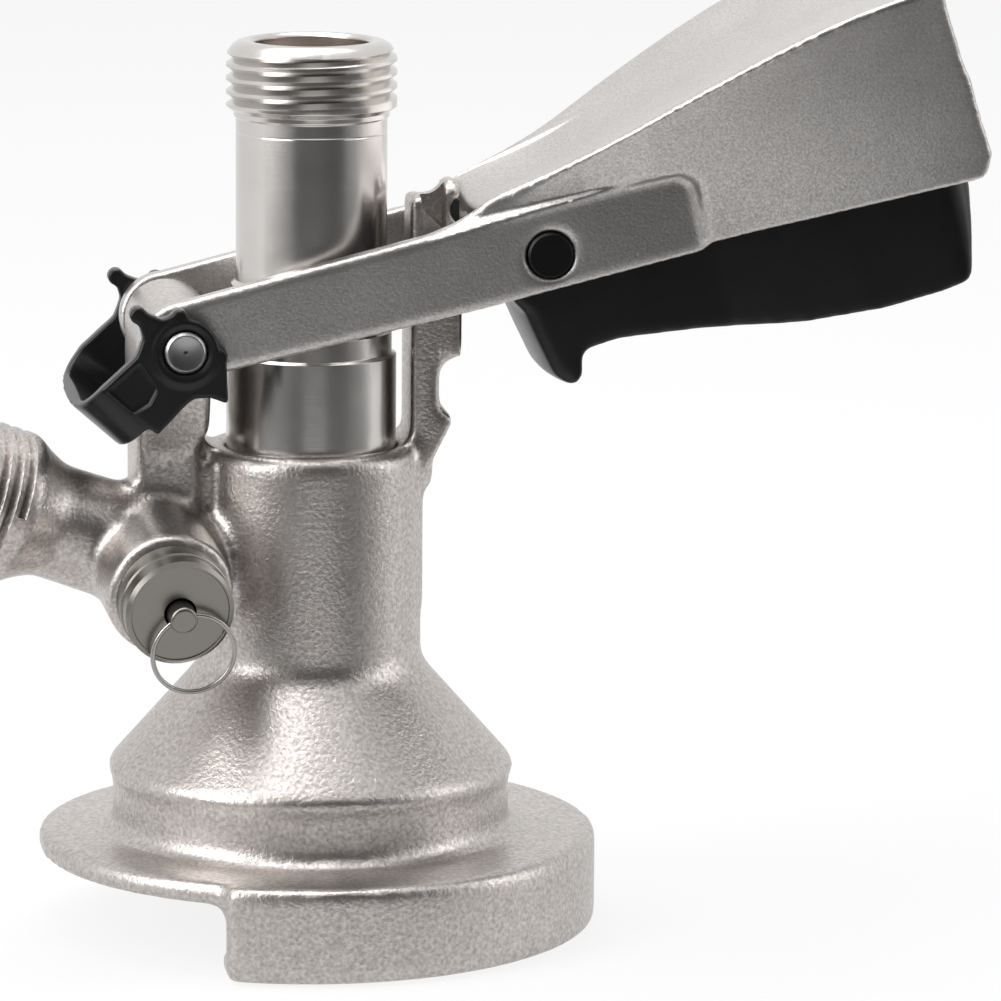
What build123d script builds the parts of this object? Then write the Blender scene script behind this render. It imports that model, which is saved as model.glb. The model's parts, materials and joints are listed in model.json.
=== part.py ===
"""Slide-on lever keg coupler, as separate pieces in millimetres.

Frame: +Z up along the probe axis, +X towards the lever handle, origin on the
probe axis at the underside of the base.  The lever is drawn raised.
"""
import os
from math import cos, radians, sin, sqrt

from build123d import *

# ---------------------------------------------------------------- clearances
FIT = 0.05            # running fit, per side
EASY = 0.5            # free side clearance of the lever and trigger

# ---------------------------------------------------------------- keg side
BASE_R = 38.8         # outer wall of the horseshoe
PLATE_R = 37.0
PLATE_Z = (10.0, 13.0)
KEG_GROOVE_R = 32.25  # flange of the keg fitting slides in here
LIP_R = 28.0
LIP_Z = 3.0
SKIRT_START_X = -15.0

# ---------------------------------------------------------------- body
BAND_R = 26.9
RIM_R = 27.9
RIM_Z = 21.5
NECK_R = 14.9
CONE_TOP_Z = 36.2
NECK_TOP_Z = 66.0
CHAMBER_R = 17.0
CHAMBER_TOP_Z = 22.0
BORE_FROM_Z = 30.0
SEAL_SEAT_R = 22.0
SEAL_SEAT_Z = 14.5
SEAL_BORE_R = 14.0

# ---------------------------------------------------------------- lever hinge
PIVOT_X = -18.7
PIVOT_Z = 81.2
ARM_TILT = 14.5       # raised lever, above the horizontal
PIN_R = 2.8
EAR_R = 5.7
EAR_X = (-24.3, -14.5)
EAR_HALF_Y = 11.5
ARM_IN_Y = EAR_HALF_Y + EASY
ARM_OUT_Y = 15.5
HUB_R = 6.1
EAR_WAIST_X = -16.2   # right side of the ear where it passes the neck
EAR_FOOT_HALF_Y = 8.0
EAR_WEB_HALF_Y = 4.0
CLIP_T = 2.8
CLIP_GAP = 0.2        # between an arm and the plate of the clip
PIN_HALF_Y = ARM_OUT_Y + CLIP_GAP + CLIP_T + 0.4
CLIP_OUTLINE = (      # side view, from the hinge pin
    (-6.5, 5.0), (-4.9, 5.2), (-3.1, 4.5), (-1.5, 5.0), (-0.2, 4.4), (3.1, 1.0), (5.4, -0.6),
    (5.7, -7.0), (3.3, -6.1), (1.1, -6.2), (0.1, -7.0), (-3.7, -11.0), (-11.0, -4.6),
    (-6.5, -0.5), (-5.6, 2.0),
)
CLIP_WEB = ((-3.7, -11.0), (-11.0, -4.6))    # low and high end of the clip's back edge
CLIP_WEB_FROM = 1.6   # the web starts this far up that edge
CLIP_BEADS = ((-6.2, 5.0), (-0.7, 4.6), (4.5, -0.6))
CLIP_BEAD_R = 1.15
CLIP_BOSS_R = 3.7

# ---------------------------------------------------------------- catch post
POST_X = (12.9, 19.8)
POST_HALF_Y = 6.0
POST_TOP_Z = PIVOT_Z + 18.4
HORN_X = 17.4
HORN_TOP_Z = PIVOT_Z + 20.4
CATCH_STEP_Z = PIVOT_Z - 3.5
CATCH_X = 16.8
CATCH_FLOOR_Z = PIVOT_Z - 10.2
TOOTH_X = 18.6
TOOTH_Z = (PIVOT_Z - 12.2, PIVOT_Z - 11.4)
POST_FOOT = (14.4, 61.0)
HEAD_HALF_Y = 4.2     # the post narrows above the arms
HEAD_Z = (PIVOT_Z + 4.0, PIVOT_Z + 9.0)
WEB_HALF_Y = 1.2
POCKET_Z = (PIVOT_Z + 13.5, PIVOT_Z + 17.5)
BUMPER_Z = PIVOT_Z + 16.4
BUMPER_H = 2.8
BUMPER_DEPTH = 1.5
BUMPER_SUNK = 0.3

# ---------------------------------------------------------------- probe
PROBE_R = 11.45
BORE_R = PROBE_R + FIT
TUBE_R = 10.15
SHANK_R = 8.4
LAND_R = 10.85
GROOVE_R = 9.0
BEER_R = 4.6
OUTLET_BORE_R = 7.8
PROBE_BOTTOM_Z = 10.6
TIP_R = 7.6
TIP_GROOVE_R = 7.0
TIP_GROOVE_H = 1.8
TIP_SEAL_R = 10.4
PISTON_Z = 56.0
STUD_Z = PIVOT_Z + 2.7
STUD_R = 2.6
STUD_INNER_Y = 9.4
STUD_SUNK = 2.6
GROOVE_HALF_H = STUD_R + 0.2
COLLAR_TOP_Z = STUD_Z - GROOVE_HALF_H - 3.1
LAND_TOP_Z = STUD_Z + GROOVE_HALF_H + 2.9
THREAD_R = 22.911 / 2     # outlet, G 5/8
THREAD_Z = (109.2, 119.6)
O_RING_R = 1.0
O_RING_Z = (60.9, 63.5)
BALL_R = 5.6
BALL_LIFT = 3.0
SEAT_Z = 95.0

# ---------------------------------------------------------------- gas inlet
INLET_Z = 43.5        # where its axis meets the probe axis
INLET_DIR = Vector(-0.9235, -0.163, 0.347).normalized()
INLET_NECK_R = (8.3, 7.7)   # at the body, at the collar
INLET_THREAD_R = 20.955 / 2   # G 1/2
INLET_COLLAR = 43.0
INLET_END = 57.0
INLET_BORE_R = 3.5
INLET_MOUTH_R = 6.6
INLET_MOUTH_FROM = 36.0

# ---------------------------------------------------------------- relief valve
PRV_ALONG = 24.5      # along the inlet from the probe axis
PRV_DIR = Vector(0.120, -0.970, -0.208).normalized()
PRV_BOSS_R = 8.6
PRV_BOSS_END = 16.0
PRV_SOCKET_R = 6.0
PRV_FLOOR = 9.6
PRV_SEAT = 10.2
PRV_HEAD_R = 7.5
PRV_FACE = 21.5
PRV_BORE_R = 4.6
PRV_HOLE_R = 2.2
PRV_STEM_R = 1.85
PRV_TIP = 24.0
PRV_RING_AT = 22.75
PRV_LIFT = 2.2
PRV_RING_R = 5.5
PRV_WIRE_R = 0.33
PRV_HOLE_TILT = 18.0

# ---------------------------------------------------------------- handle, in lever axes
# along the arm, half width at bottom / middle / top, height of bottom / middle / top
HANDLE = (
    (43.0, 15.5, 15.5, 15.6, -5.4, 1.5, 8.0),
    (53.0, 15.5, 15.6, 17.4, -5.3, 2.5, 10.1),
    (61.0, 15.5, 16.1, 20.1, -5.1, 3.6, 12.3),
    (70.0, 16.0, 18.1, 23.2, -4.9, 5.2, 15.2),
    (80.0, 17.8, 20.8, 26.3, -4.8, 6.8, 18.2),
    (90.0, 20.0, 23.2, 28.6, -4.8, 8.0, 20.7),
    (99.0, 21.8, 24.9, 29.5, -4.8, 8.7, 22.1),
    (110.0, 23.2, 26.2, 29.9, -4.8, 9.3, 23.3),
)
HANDLE_END = ((107.7, 30), (107.7, 17), (108.2, 11), (109.5, 6), (109.5, 0), (108.6, -4), (108.2, -10))
WALL = 2.6
TROUGH = 2.0
TRIGGER_U = 50.3
TRIGGER_V = -0.8
TRIGGER_PIN_R = 3.05
TRIGGER_HALF_Y = ARM_IN_Y - EASY
TRIGGER_FLARE_U = 72.0
TRIGGER_END = (108.5, 15.0)
TRIGGER_WALL = 2.5
PAWL_U = 39.1
PAWL_HALF_Y = 4.5
SPRING_WIRE_R = 0.35
SPRING_TURNS = 4
SPRING_PITCH = 1.2
SPRING_LEGS = (20, -50)   # degrees above the arm: against the handle, against the grip
SPRING_LEG = 8.0


# ---------------------------------------------------------------- frames
def lever_plane(y=0.0):
    """Side view plane of the raised lever: x along the arm, y square to it."""
    tilt = radians(ARM_TILT)
    return Plane(
        origin=(PIVOT_X, y, PIVOT_Z),
        x_dir=(cos(tilt), 0, sin(tilt)),
        z_dir=(0, -1, 0),
    )


def lever_section(u):
    """Plane square to the arm at distance u from the hinge: x = +Y, y = up."""
    tilt = radians(ARM_TILT)
    return Plane(
        origin=(PIVOT_X + u * cos(tilt), 0, PIVOT_Z + u * sin(tilt)),
        x_dir=(0, 1, 0),
        z_dir=(cos(tilt), 0, sin(tilt)),
    )


def inlet_plane(along):
    """Plane square to the gas inlet at a distance from the probe axis."""
    return Plane(
        origin=Vector(0, 0, INLET_Z) + INLET_DIR * along,
        x_dir=INLET_DIR.cross(PRV_DIR).normalized(),
        z_dir=INLET_DIR,
    )


PRV_ROOT = Vector(0, 0, INLET_Z) + INLET_DIR * PRV_ALONG
PRV_SIDE = PRV_DIR.cross(Vector(0, 0, 1)).normalized()


def prv_plane(along=0.0):
    """Plane square to the relief valve at a distance from the inlet axis."""
    return Plane(origin=PRV_ROOT + PRV_DIR * along, x_dir=PRV_SIDE, z_dir=PRV_DIR)


def prv_ring_hole():
    return prv_plane(PRV_RING_AT).origin


def prv_hole_dir():
    """Cross hole of the stem, PRV_HOLE_TILT above the horizontal."""
    up = PRV_DIR.cross(PRV_SIDE).normalized()
    if up.Z < 0:
        up = -up
    tilt = radians(PRV_HOLE_TILT)
    return up * sin(tilt) - PRV_SIDE * cos(tilt)


def prv_profile_plane():
    """Plane holding the relief valve axis as its y direction."""
    return Plane(origin=PRV_ROOT, x_dir=PRV_SIDE, z_dir=PRV_SIDE.cross(PRV_DIR))


def inlet_profile_plane():
    """Plane holding the gas inlet axis as its y direction."""
    side = INLET_DIR.cross(PRV_DIR).normalized()
    return Plane(origin=(0, 0, INLET_Z), x_dir=side, z_dir=side.cross(INLET_DIR))


def axis_of(plane):
    return Axis(plane.origin, plane.z_dir)


def round_corners(sketch, radii):
    """Round sketch corners: radii maps the (x, y) of a corner to its radius."""
    for (x, y), radius in radii.items():
        fillet(sketch.vertices().sort_by_distance((x, y, 0))[0], radius=radius)


def save(piece, name):
    piece.part.label = name
    export_step(piece.part, f"parts/{name}.step")


# ---------------------------------------------------------------- body
def make_skirt():
    """Horseshoe wall under the plate, cut off square at SKIRT_START_X."""
    with BuildPart() as skirt:
        with BuildSketch(Plane.XZ) as wall:
            Polygon((20, 0), (BASE_R, 0), (BASE_R, PLATE_Z[1]), (20, PLATE_Z[1]), align=None)
            round_corners(wall, {(BASE_R, 0): 1.0, (BASE_R, PLATE_Z[1]): 1.2})
        revolve(axis=Axis.Z)
        split(bisect_by=Plane.YZ.offset(SKIRT_START_X), keep=Keep.TOP)
    return skirt


def make_ear():
    """Hinge ear, narrowing to its foot on the gas inlet."""
    foot_z = INLET_Z + 5.5
    with BuildPart() as ear:
        with BuildSketch(Plane.XZ) as side:
            with Locations((PIVOT_X, PIVOT_Z)):
                Circle(EAR_R)
            Polygon(
                (EAR_X[0], PIVOT_Z - 2), (EAR_X[1], PIVOT_Z - 2), (EAR_X[1], NECK_TOP_Z + 3),
                (EAR_WAIST_X, NECK_TOP_Z + 0.5), (EAR_WAIST_X, foot_z), (EAR_X[0], foot_z),
                align=None,
            )
            round_corners(side, {(EAR_X[1], NECK_TOP_Z + 3): 2.0,
                                 (EAR_WAIST_X, NECK_TOP_Z + 0.5): 2.0})
        extrude(amount=EAR_HALF_Y, both=True)
        with BuildSketch(Plane.YZ):
            top_z, wide_z = PIVOT_Z + EAR_R + 1, PIVOT_Z - EAR_R
            Polygon((-EAR_FOOT_HALF_Y, foot_z), (EAR_FOOT_HALF_Y, foot_z),
                    (EAR_FOOT_HALF_Y, NECK_TOP_Z), (EAR_HALF_Y, wide_z), (EAR_HALF_Y, top_z),
                    (-EAR_HALF_Y, top_z), (-EAR_HALF_Y, wide_z), (-EAR_FOOT_HALF_Y, NECK_TOP_Z),
                    align=None)
        extrude(amount=2 * EAR_X[0], mode=Mode.INTERSECT)
    return ear


def make_post():
    """Catch post: step and tooth for the pawl, narrow pocketed head with a horn."""
    with BuildPart() as post:
        with BuildSketch(Plane.XZ) as side:
            Polygon(
                (POST_X[0], NECK_TOP_Z - 10), (POST_X[0], POST_TOP_Z), (HORN_X, POST_TOP_Z),
                (HORN_X, HORN_TOP_Z), (POST_X[1], HORN_TOP_Z), (POST_X[1], CATCH_STEP_Z),
                (CATCH_X, CATCH_STEP_Z), (CATCH_X, CATCH_FLOOR_Z), (TOOTH_X, TOOTH_Z[1]),
                (TOOTH_X, TOOTH_Z[0]), POST_FOOT, align=None,
            )
            round_corners(side, {
                (POST_X[0], POST_TOP_Z): 0.9,
                (HORN_X, HORN_TOP_Z): 1.0,
                (POST_X[1], HORN_TOP_Z): 1.0,
                (CATCH_X, CATCH_STEP_Z): 0.8,
                (CATCH_X, CATCH_FLOOR_Z): 0.6,
                POST_FOOT: 2.0,
            })
            with Locations((POST_X[1], BUMPER_Z)):
                RectangleRounded(2 * BUMPER_DEPTH, BUMPER_H, BUMPER_H / 2 - 0.1,
                                 mode=Mode.SUBTRACT)
        extrude(amount=POST_HALF_Y, both=True)
        with BuildSketch(Plane.YZ) as front:
            Polygon((-POST_HALF_Y, 0), (POST_HALF_Y, 0), (POST_HALF_Y, HEAD_Z[0]),
                    (HEAD_HALF_Y, HEAD_Z[1]), (HEAD_HALF_Y, HORN_TOP_Z),
                    (-HEAD_HALF_Y, HORN_TOP_Z), (-HEAD_HALF_Y, HEAD_Z[1]),
                    (-POST_HALF_Y, HEAD_Z[0]), align=None)
            round_corners(front, {(-HEAD_HALF_Y, HORN_TOP_Z): 2.6, (HEAD_HALF_Y, HORN_TOP_Z): 2.6})
        extrude(amount=POST_X[1] + 1, mode=Mode.INTERSECT)
        for side_y in (1, -1):
            with BuildSketch(Plane.XZ.offset(side_y * POST_HALF_Y)):
                Polygon((POST_X[0] + 1.8, HORN_TOP_Z), (HORN_X, HORN_TOP_Z),
                        (HORN_X, POCKET_Z[0]), (POST_X[0] + 1.8, POCKET_Z[1]), align=None)
            extrude(amount=side_y * (WEB_HALF_Y - POST_HALF_Y), mode=Mode.SUBTRACT)
    return post


def make_body():
    skirt, ear, post = make_skirt(), make_ear(), make_post()
    with BuildPart() as body:
        # bell: plate, band, cone and neck
        with BuildSketch(Plane.XZ) as bell:
            Polygon(
                (0, PLATE_Z[0]), (PLATE_R, PLATE_Z[0]), (PLATE_R, PLATE_Z[1]),
                (BAND_R, PLATE_Z[1]), (BAND_R, RIM_Z - 1.2), (RIM_R, RIM_Z),
                (NECK_R, CONE_TOP_Z), (NECK_R, NECK_TOP_Z), (0, NECK_TOP_Z),
                align=None,
            )
            round_corners(bell, {
                (PLATE_R, PLATE_Z[1]): 1.0,
                (BAND_R, PLATE_Z[1]): 1.2,
                (BAND_R, RIM_Z - 1.2): 0.6,
                (RIM_R, RIM_Z): 0.9,
                (NECK_R, CONE_TOP_Z): 4.0,
                (NECK_R, NECK_TOP_Z): 1.8,
            })
        revolve(axis=Axis.Z)

        add(skirt.part)

        # gas inlet with its threaded collar
        with BuildSketch(inlet_profile_plane()) as inlet:
            Polygon(
                (0, 6), (INLET_NECK_R[0], 6), (INLET_NECK_R[1], INLET_COLLAR - 3.8),
                (INLET_THREAD_R - 0.9, INLET_COLLAR), (INLET_THREAD_R, INLET_COLLAR + 0.9),
                (INLET_THREAD_R, INLET_END - 1.0), (INLET_THREAD_R - 1.0, INLET_END),
                (0, INLET_END), align=None,
            )
            round_corners(inlet, {(INLET_NECK_R[1], INLET_COLLAR - 3.8): 2.5})
        revolve(axis=axis_of(inlet_plane(0)))

        # boss of the relief valve
        with BuildSketch(prv_profile_plane()) as boss:
            Polygon((0, 0), (PRV_BOSS_R, 0), (PRV_BOSS_R, PRV_BOSS_END), (0, PRV_BOSS_END),
                    align=None)
            round_corners(boss, {(PRV_BOSS_R, PRV_BOSS_END): 0.7})
        revolve(axis=axis_of(prv_plane()))

        add(ear.part)
        add(post.part)
        with BuildSketch(Plane.XY.offset(INLET_Z)):
            Rectangle(-2 * EAR_WAIST_X, 2 * EAR_WEB_HALF_Y)
        extrude(amount=NECK_TOP_Z - 2 - INLET_Z)

        # slide for the keg fitting, open towards -X
        for z, height, radius in ((0.0, PLATE_Z[0], LIP_R), (LIP_Z, PLATE_Z[0] - LIP_Z, KEG_GROOVE_R)):
            with BuildSketch(Plane.XY.offset(z)):
                Circle(radius)
                Rectangle(BASE_R, 2 * radius, align=(Align.MAX, Align.CENTER))
            extrude(amount=height, mode=Mode.SUBTRACT)

        # bore, gas chamber and seal seat
        with BuildSketch(Plane.XZ):
            Polygon(
                (0, PLATE_Z[0] - 1), (SEAL_SEAT_R, PLATE_Z[0] - 1), (SEAL_SEAT_R, SEAL_SEAT_Z),
                (CHAMBER_R, SEAL_SEAT_Z), (CHAMBER_R, CHAMBER_TOP_Z), (BORE_R, BORE_FROM_Z),
                (BORE_R, NECK_TOP_Z - 0.5), (BORE_R + 0.5, NECK_TOP_Z), (0, NECK_TOP_Z),
                align=None,
            )
        revolve(axis=Axis.Z, mode=Mode.SUBTRACT)
        with BuildSketch(inlet_plane(9)):
            Circle(INLET_BORE_R)
        extrude(amount=INLET_MOUTH_FROM - 9, mode=Mode.SUBTRACT)
        with BuildSketch(inlet_plane(INLET_MOUTH_FROM)):
            Circle(INLET_MOUTH_R)
        extrude(amount=INLET_END - INLET_MOUTH_FROM, mode=Mode.SUBTRACT)

        # relief valve passage, socket and seat
        with BuildSketch(prv_plane(PRV_FLOOR)):
            Circle(PRV_SOCKET_R)
            Circle(3.0, mode=Mode.SUBTRACT)
        extrude(amount=PRV_BOSS_END - PRV_FLOOR, mode=Mode.SUBTRACT)
        with BuildSketch(prv_plane(PRV_SEAT)):
            Circle(3.0)
        extrude(amount=PRV_BOSS_END - PRV_SEAT, mode=Mode.SUBTRACT)
        with BuildSketch(prv_plane()):
            Circle(2.0)
        extrude(amount=PRV_SEAT, mode=Mode.SUBTRACT)

        # hinge pin bore
        with BuildSketch(Plane.XZ):
            with Locations((PIVOT_X, PIVOT_Z)):
                Circle(PIN_R + FIT)
        extrude(amount=EAR_HALF_Y, both=True, mode=Mode.SUBTRACT)
    save(body, "coupler_body")


def make_body_rubber():
    low = PLATE_Z[0] - 0.6
    with BuildPart() as seal:
        with BuildSketch(Plane.XZ) as profile:
            Polygon(
                (SEAL_BORE_R, low + 1.2), (SEAL_BORE_R + 1.4, low), (SEAL_BORE_R + 4, low),
                (SEAL_BORE_R + 5, low + 0.8), (SEAL_SEAT_R - FIT, low + 0.8),
                (SEAL_SEAT_R - FIT, SEAL_SEAT_Z - FIT), (SEAL_BORE_R, SEAL_SEAT_Z - FIT),
                align=None,
            )
            fillet(profile.vertices().group_by(Axis.Y)[0], radius=0.5)
        revolve(axis=Axis.Z)
    save(seal, "body_seal")

    with BuildPart() as bumper:
        with BuildSketch(Plane.XZ):
            with Locations((POST_X[1], BUMPER_Z)):
                RectangleRounded(2 * (BUMPER_DEPTH - FIT), BUMPER_H - 2 * FIT, BUMPER_H / 2 - 0.2)
            with Locations((POST_X[1] - BUMPER_SUNK, BUMPER_Z)):
                Rectangle(BUMPER_H, 2 * BUMPER_H, align=(Align.MIN, Align.CENTER),
                          mode=Mode.SUBTRACT)
        extrude(amount=HEAD_HALF_Y - BUMPER_SUNK, both=True)
    save(bumper, "post_bumper")


# ---------------------------------------------------------------- probe and beer check
def make_probe():
    with BuildPart() as probe:
        low = PROBE_BOTTOM_Z
        z0, z1 = THREAD_Z
        with BuildSketch(Plane.XZ) as profile:
            Polygon(
                (BEER_R, low), (TIP_R, low), (TIP_R, low + 1.6), (TIP_GROOVE_R, low + 1.8),
                (TIP_GROOVE_R, low + 1.8 + TIP_GROOVE_H), (SHANK_R, low + 1.8 + TIP_GROOVE_H),
                (SHANK_R, PISTON_Z), (PROBE_R, PISTON_Z + 1.5),
                (PROBE_R, COLLAR_TOP_Z), (LAND_R, COLLAR_TOP_Z + 0.3),
                (LAND_R, STUD_Z - GROOVE_HALF_H), (GROOVE_R, STUD_Z - GROOVE_HALF_H),
                (GROOVE_R, STUD_Z + GROOVE_HALF_H), (LAND_R, STUD_Z + GROOVE_HALF_H),
                (LAND_R, LAND_TOP_Z), (TUBE_R, LAND_TOP_Z + 0.7), (TUBE_R, z0 - 0.6),
                (THREAD_R - 1.0, z0), (THREAD_R, z0 + 1.0), (THREAD_R, z1 - 1.0),
                (THREAD_R - 1.0, z1), (OUTLET_BORE_R + 0.6, z1), (OUTLET_BORE_R, z1 - 0.6),
                (OUTLET_BORE_R, SEAT_Z + OUTLET_BORE_R - BEER_R), (BEER_R, SEAT_Z), align=None,
            )
            fillet(profile.vertices().sort_by_distance((LAND_R, COLLAR_TOP_Z + 0.3, 0))[0],
                   radius=0.2)
        revolve(axis=Axis.Z)
        for z in O_RING_Z:
            with BuildSketch(Plane.XY.offset(z - O_RING_R - 0.1)):
                Circle(PROBE_R + 1)
                Circle(BORE_R - 2 * O_RING_R - 0.1, mode=Mode.SUBTRACT)
            extrude(amount=2 * O_RING_R + 0.2, mode=Mode.SUBTRACT)
    save(probe, "probe")

    with BuildPart() as rings:
        for z in O_RING_Z:
            with BuildSketch(Plane.XZ):
                with Locations((BORE_R - O_RING_R - 0.03, z)):
                    Circle(O_RING_R)
            revolve(axis=Axis.Z)
    save(rings, "probe_o_rings")

    with BuildPart() as tip:
        with BuildSketch(Plane.XZ) as profile:
            Polygon(
                (TIP_R + FIT, low - 1.2), (TIP_SEAL_R, low - 1.2),
                (TIP_SEAL_R, low + 1.7 + TIP_GROOVE_H), (TIP_GROOVE_R + FIT, low + 1.7 + TIP_GROOVE_H),
                (TIP_GROOVE_R + FIT, low + 1.8 + FIT), (TIP_R + FIT, low + 1.6 + FIT), align=None,
            )
            round_corners(profile, {(TIP_SEAL_R, low - 1.2): 0.8})
        revolve(axis=Axis.Z)
    save(tip, "probe_tip_seal")


def make_beer_check():
    rest_z = SEAT_Z + sqrt(BALL_R ** 2 - BEER_R ** 2) + FIT
    with BuildPart() as ball:
        with Locations((0, 0, rest_z)):
            Sphere(BALL_R)
    save(ball, "check_ball")

    low, high = rest_z + BALL_R + BALL_LIFT + 0.3, THREAD_Z[1] - 1.6
    with BuildPart() as cage:
        with BuildSketch(Plane.XY.offset(low)):
            Circle(OUTLET_BORE_R - FIT)
            Circle(OUTLET_BORE_R - 1.4, mode=Mode.SUBTRACT)
        extrude(amount=high - low)
        with BuildSketch(Plane.XY.offset(low)):
            with PolarLocations(0, 3):
                Rectangle(OUTLET_BORE_R - 1.0, 1.4, align=(Align.MIN, Align.CENTER))
            Circle(1.6)
        extrude(amount=1.6)
        fillet(cage.edges().filter_by(GeomType.CIRCLE).group_by(Axis.Z)[-1], radius=0.4)
    save(cage, "ball_cage")


# ---------------------------------------------------------------- gas inlet check
def make_gas_check():
    with BuildPart() as duckbill:
        with BuildSketch(inlet_profile_plane()):
            start = INLET_MOUTH_FROM + FIT
            Polygon((0, start - 8), (1.2, start - 8), (3.2, start - 3), (3.2, start),
                    (INLET_MOUTH_R - FIT, start), (INLET_MOUTH_R - FIT, start + 2),
                    (0, start + 2), align=None)
        revolve(axis=axis_of(inlet_plane(0)))
        with BuildSketch(inlet_plane(start + 2)):
            Circle(2.2)
        extrude(amount=-6, taper=18, mode=Mode.SUBTRACT)
        with BuildSketch(inlet_plane(start - 8)):
            Rectangle(1.9, 0.15)
        extrude(amount=4, mode=Mode.SUBTRACT)
    save(duckbill, "gas_check_valve")

    with BuildPart() as retainer:
        with BuildSketch(inlet_plane(INLET_MOUTH_FROM + 2 + 2 * FIT)):
            Circle(INLET_MOUTH_R - FIT)
            Circle(4.2, mode=Mode.SUBTRACT)
        extrude(amount=2.5)
        chamfer(retainer.edges().filter_by(GeomType.CIRCLE).sort_by(axis_of(inlet_plane(0)))[-2:],
                length=0.4)
    save(retainer, "gas_check_retainer")


# ---------------------------------------------------------------- relief valve
def make_relief_valve():
    with BuildPart() as housing:
        with BuildSketch(prv_profile_plane()) as profile:
            Polygon(
                (PRV_BORE_R, 11.2), (PRV_SOCKET_R - FIT, 11.2), (PRV_SOCKET_R - FIT, 13.8),
                (4.95, 13.8), (4.95, 15.3), (PRV_SOCKET_R - FIT, 15.3),
                (PRV_SOCKET_R - FIT, PRV_BOSS_END + FIT), (PRV_HEAD_R, PRV_BOSS_END + FIT),
                (PRV_HEAD_R, 18.6), (PRV_HEAD_R - 0.2, 18.8), (PRV_HEAD_R - 0.2, PRV_FACE - 0.5),
                (PRV_HEAD_R - 0.7, PRV_FACE), (6.6, PRV_FACE), (6.5, PRV_FACE - 0.2),
                (PRV_HOLE_R, PRV_FACE - 0.2), (PRV_HOLE_R, 19.4), (PRV_BORE_R, 19.4),
                align=None,
            )
        revolve(axis=axis_of(prv_plane()))
    save(housing, "prv_housing")

    with BuildPart() as o_ring:
        with BuildSketch(prv_profile_plane()):
            with Locations((5.47, 14.55)):
                Circle(0.45)
        revolve(axis=axis_of(prv_plane()))
    save(o_ring, "prv_o_ring")

    with BuildPart() as stem:
        with BuildSketch(prv_profile_plane()) as profile:
            Polygon((0, 11.1), (3.9, 11.1), (3.9, 12.5), (PRV_STEM_R, 12.5),
                    (PRV_STEM_R, PRV_TIP), (0, PRV_TIP), align=None)
            round_corners(profile, {(PRV_STEM_R, PRV_TIP): 0.5})
        revolve(axis=axis_of(prv_plane()))
        with BuildSketch(Plane(origin=prv_ring_hole(), z_dir=prv_hole_dir())):
            Circle(PRV_WIRE_R + 0.3)
        extrude(amount=2 * PRV_STEM_R, both=True, mode=Mode.SUBTRACT)
    save(stem, "prv_stem")

    with BuildPart() as disc:
        with BuildSketch(prv_plane(PRV_SEAT + FIT)):
            Circle(3.7)
        extrude(amount=11.1 - PRV_SEAT - 2 * FIT)
    save(disc, "prv_seal")

    with BuildPart() as spring:
        coil = Helix(pitch=1.4, height=5.6, radius=3.1, center=prv_plane(12.95).origin,
                     direction=PRV_DIR)
        with BuildSketch(Plane(origin=coil @ 0, z_dir=coil % 0)):
            RegularPolygon(0.35, 6)
        sweep(path=coil, is_frenet=True)
    save(spring, "prv_spring")

    hang = prv_hole_dir().cross(PRV_DIR).normalized()
    if hang.Z > 0:
        hang = -hang
    with BuildPart() as ring:
        centre = prv_ring_hole() + hang * PRV_RING_R
        with BuildSketch(Plane(origin=prv_ring_hole(), x_dir=hang, z_dir=prv_hole_dir())):
            Circle(PRV_WIRE_R)
        revolve(axis=Axis(centre, PRV_DIR))
    save(ring, "prv_ring")


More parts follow.
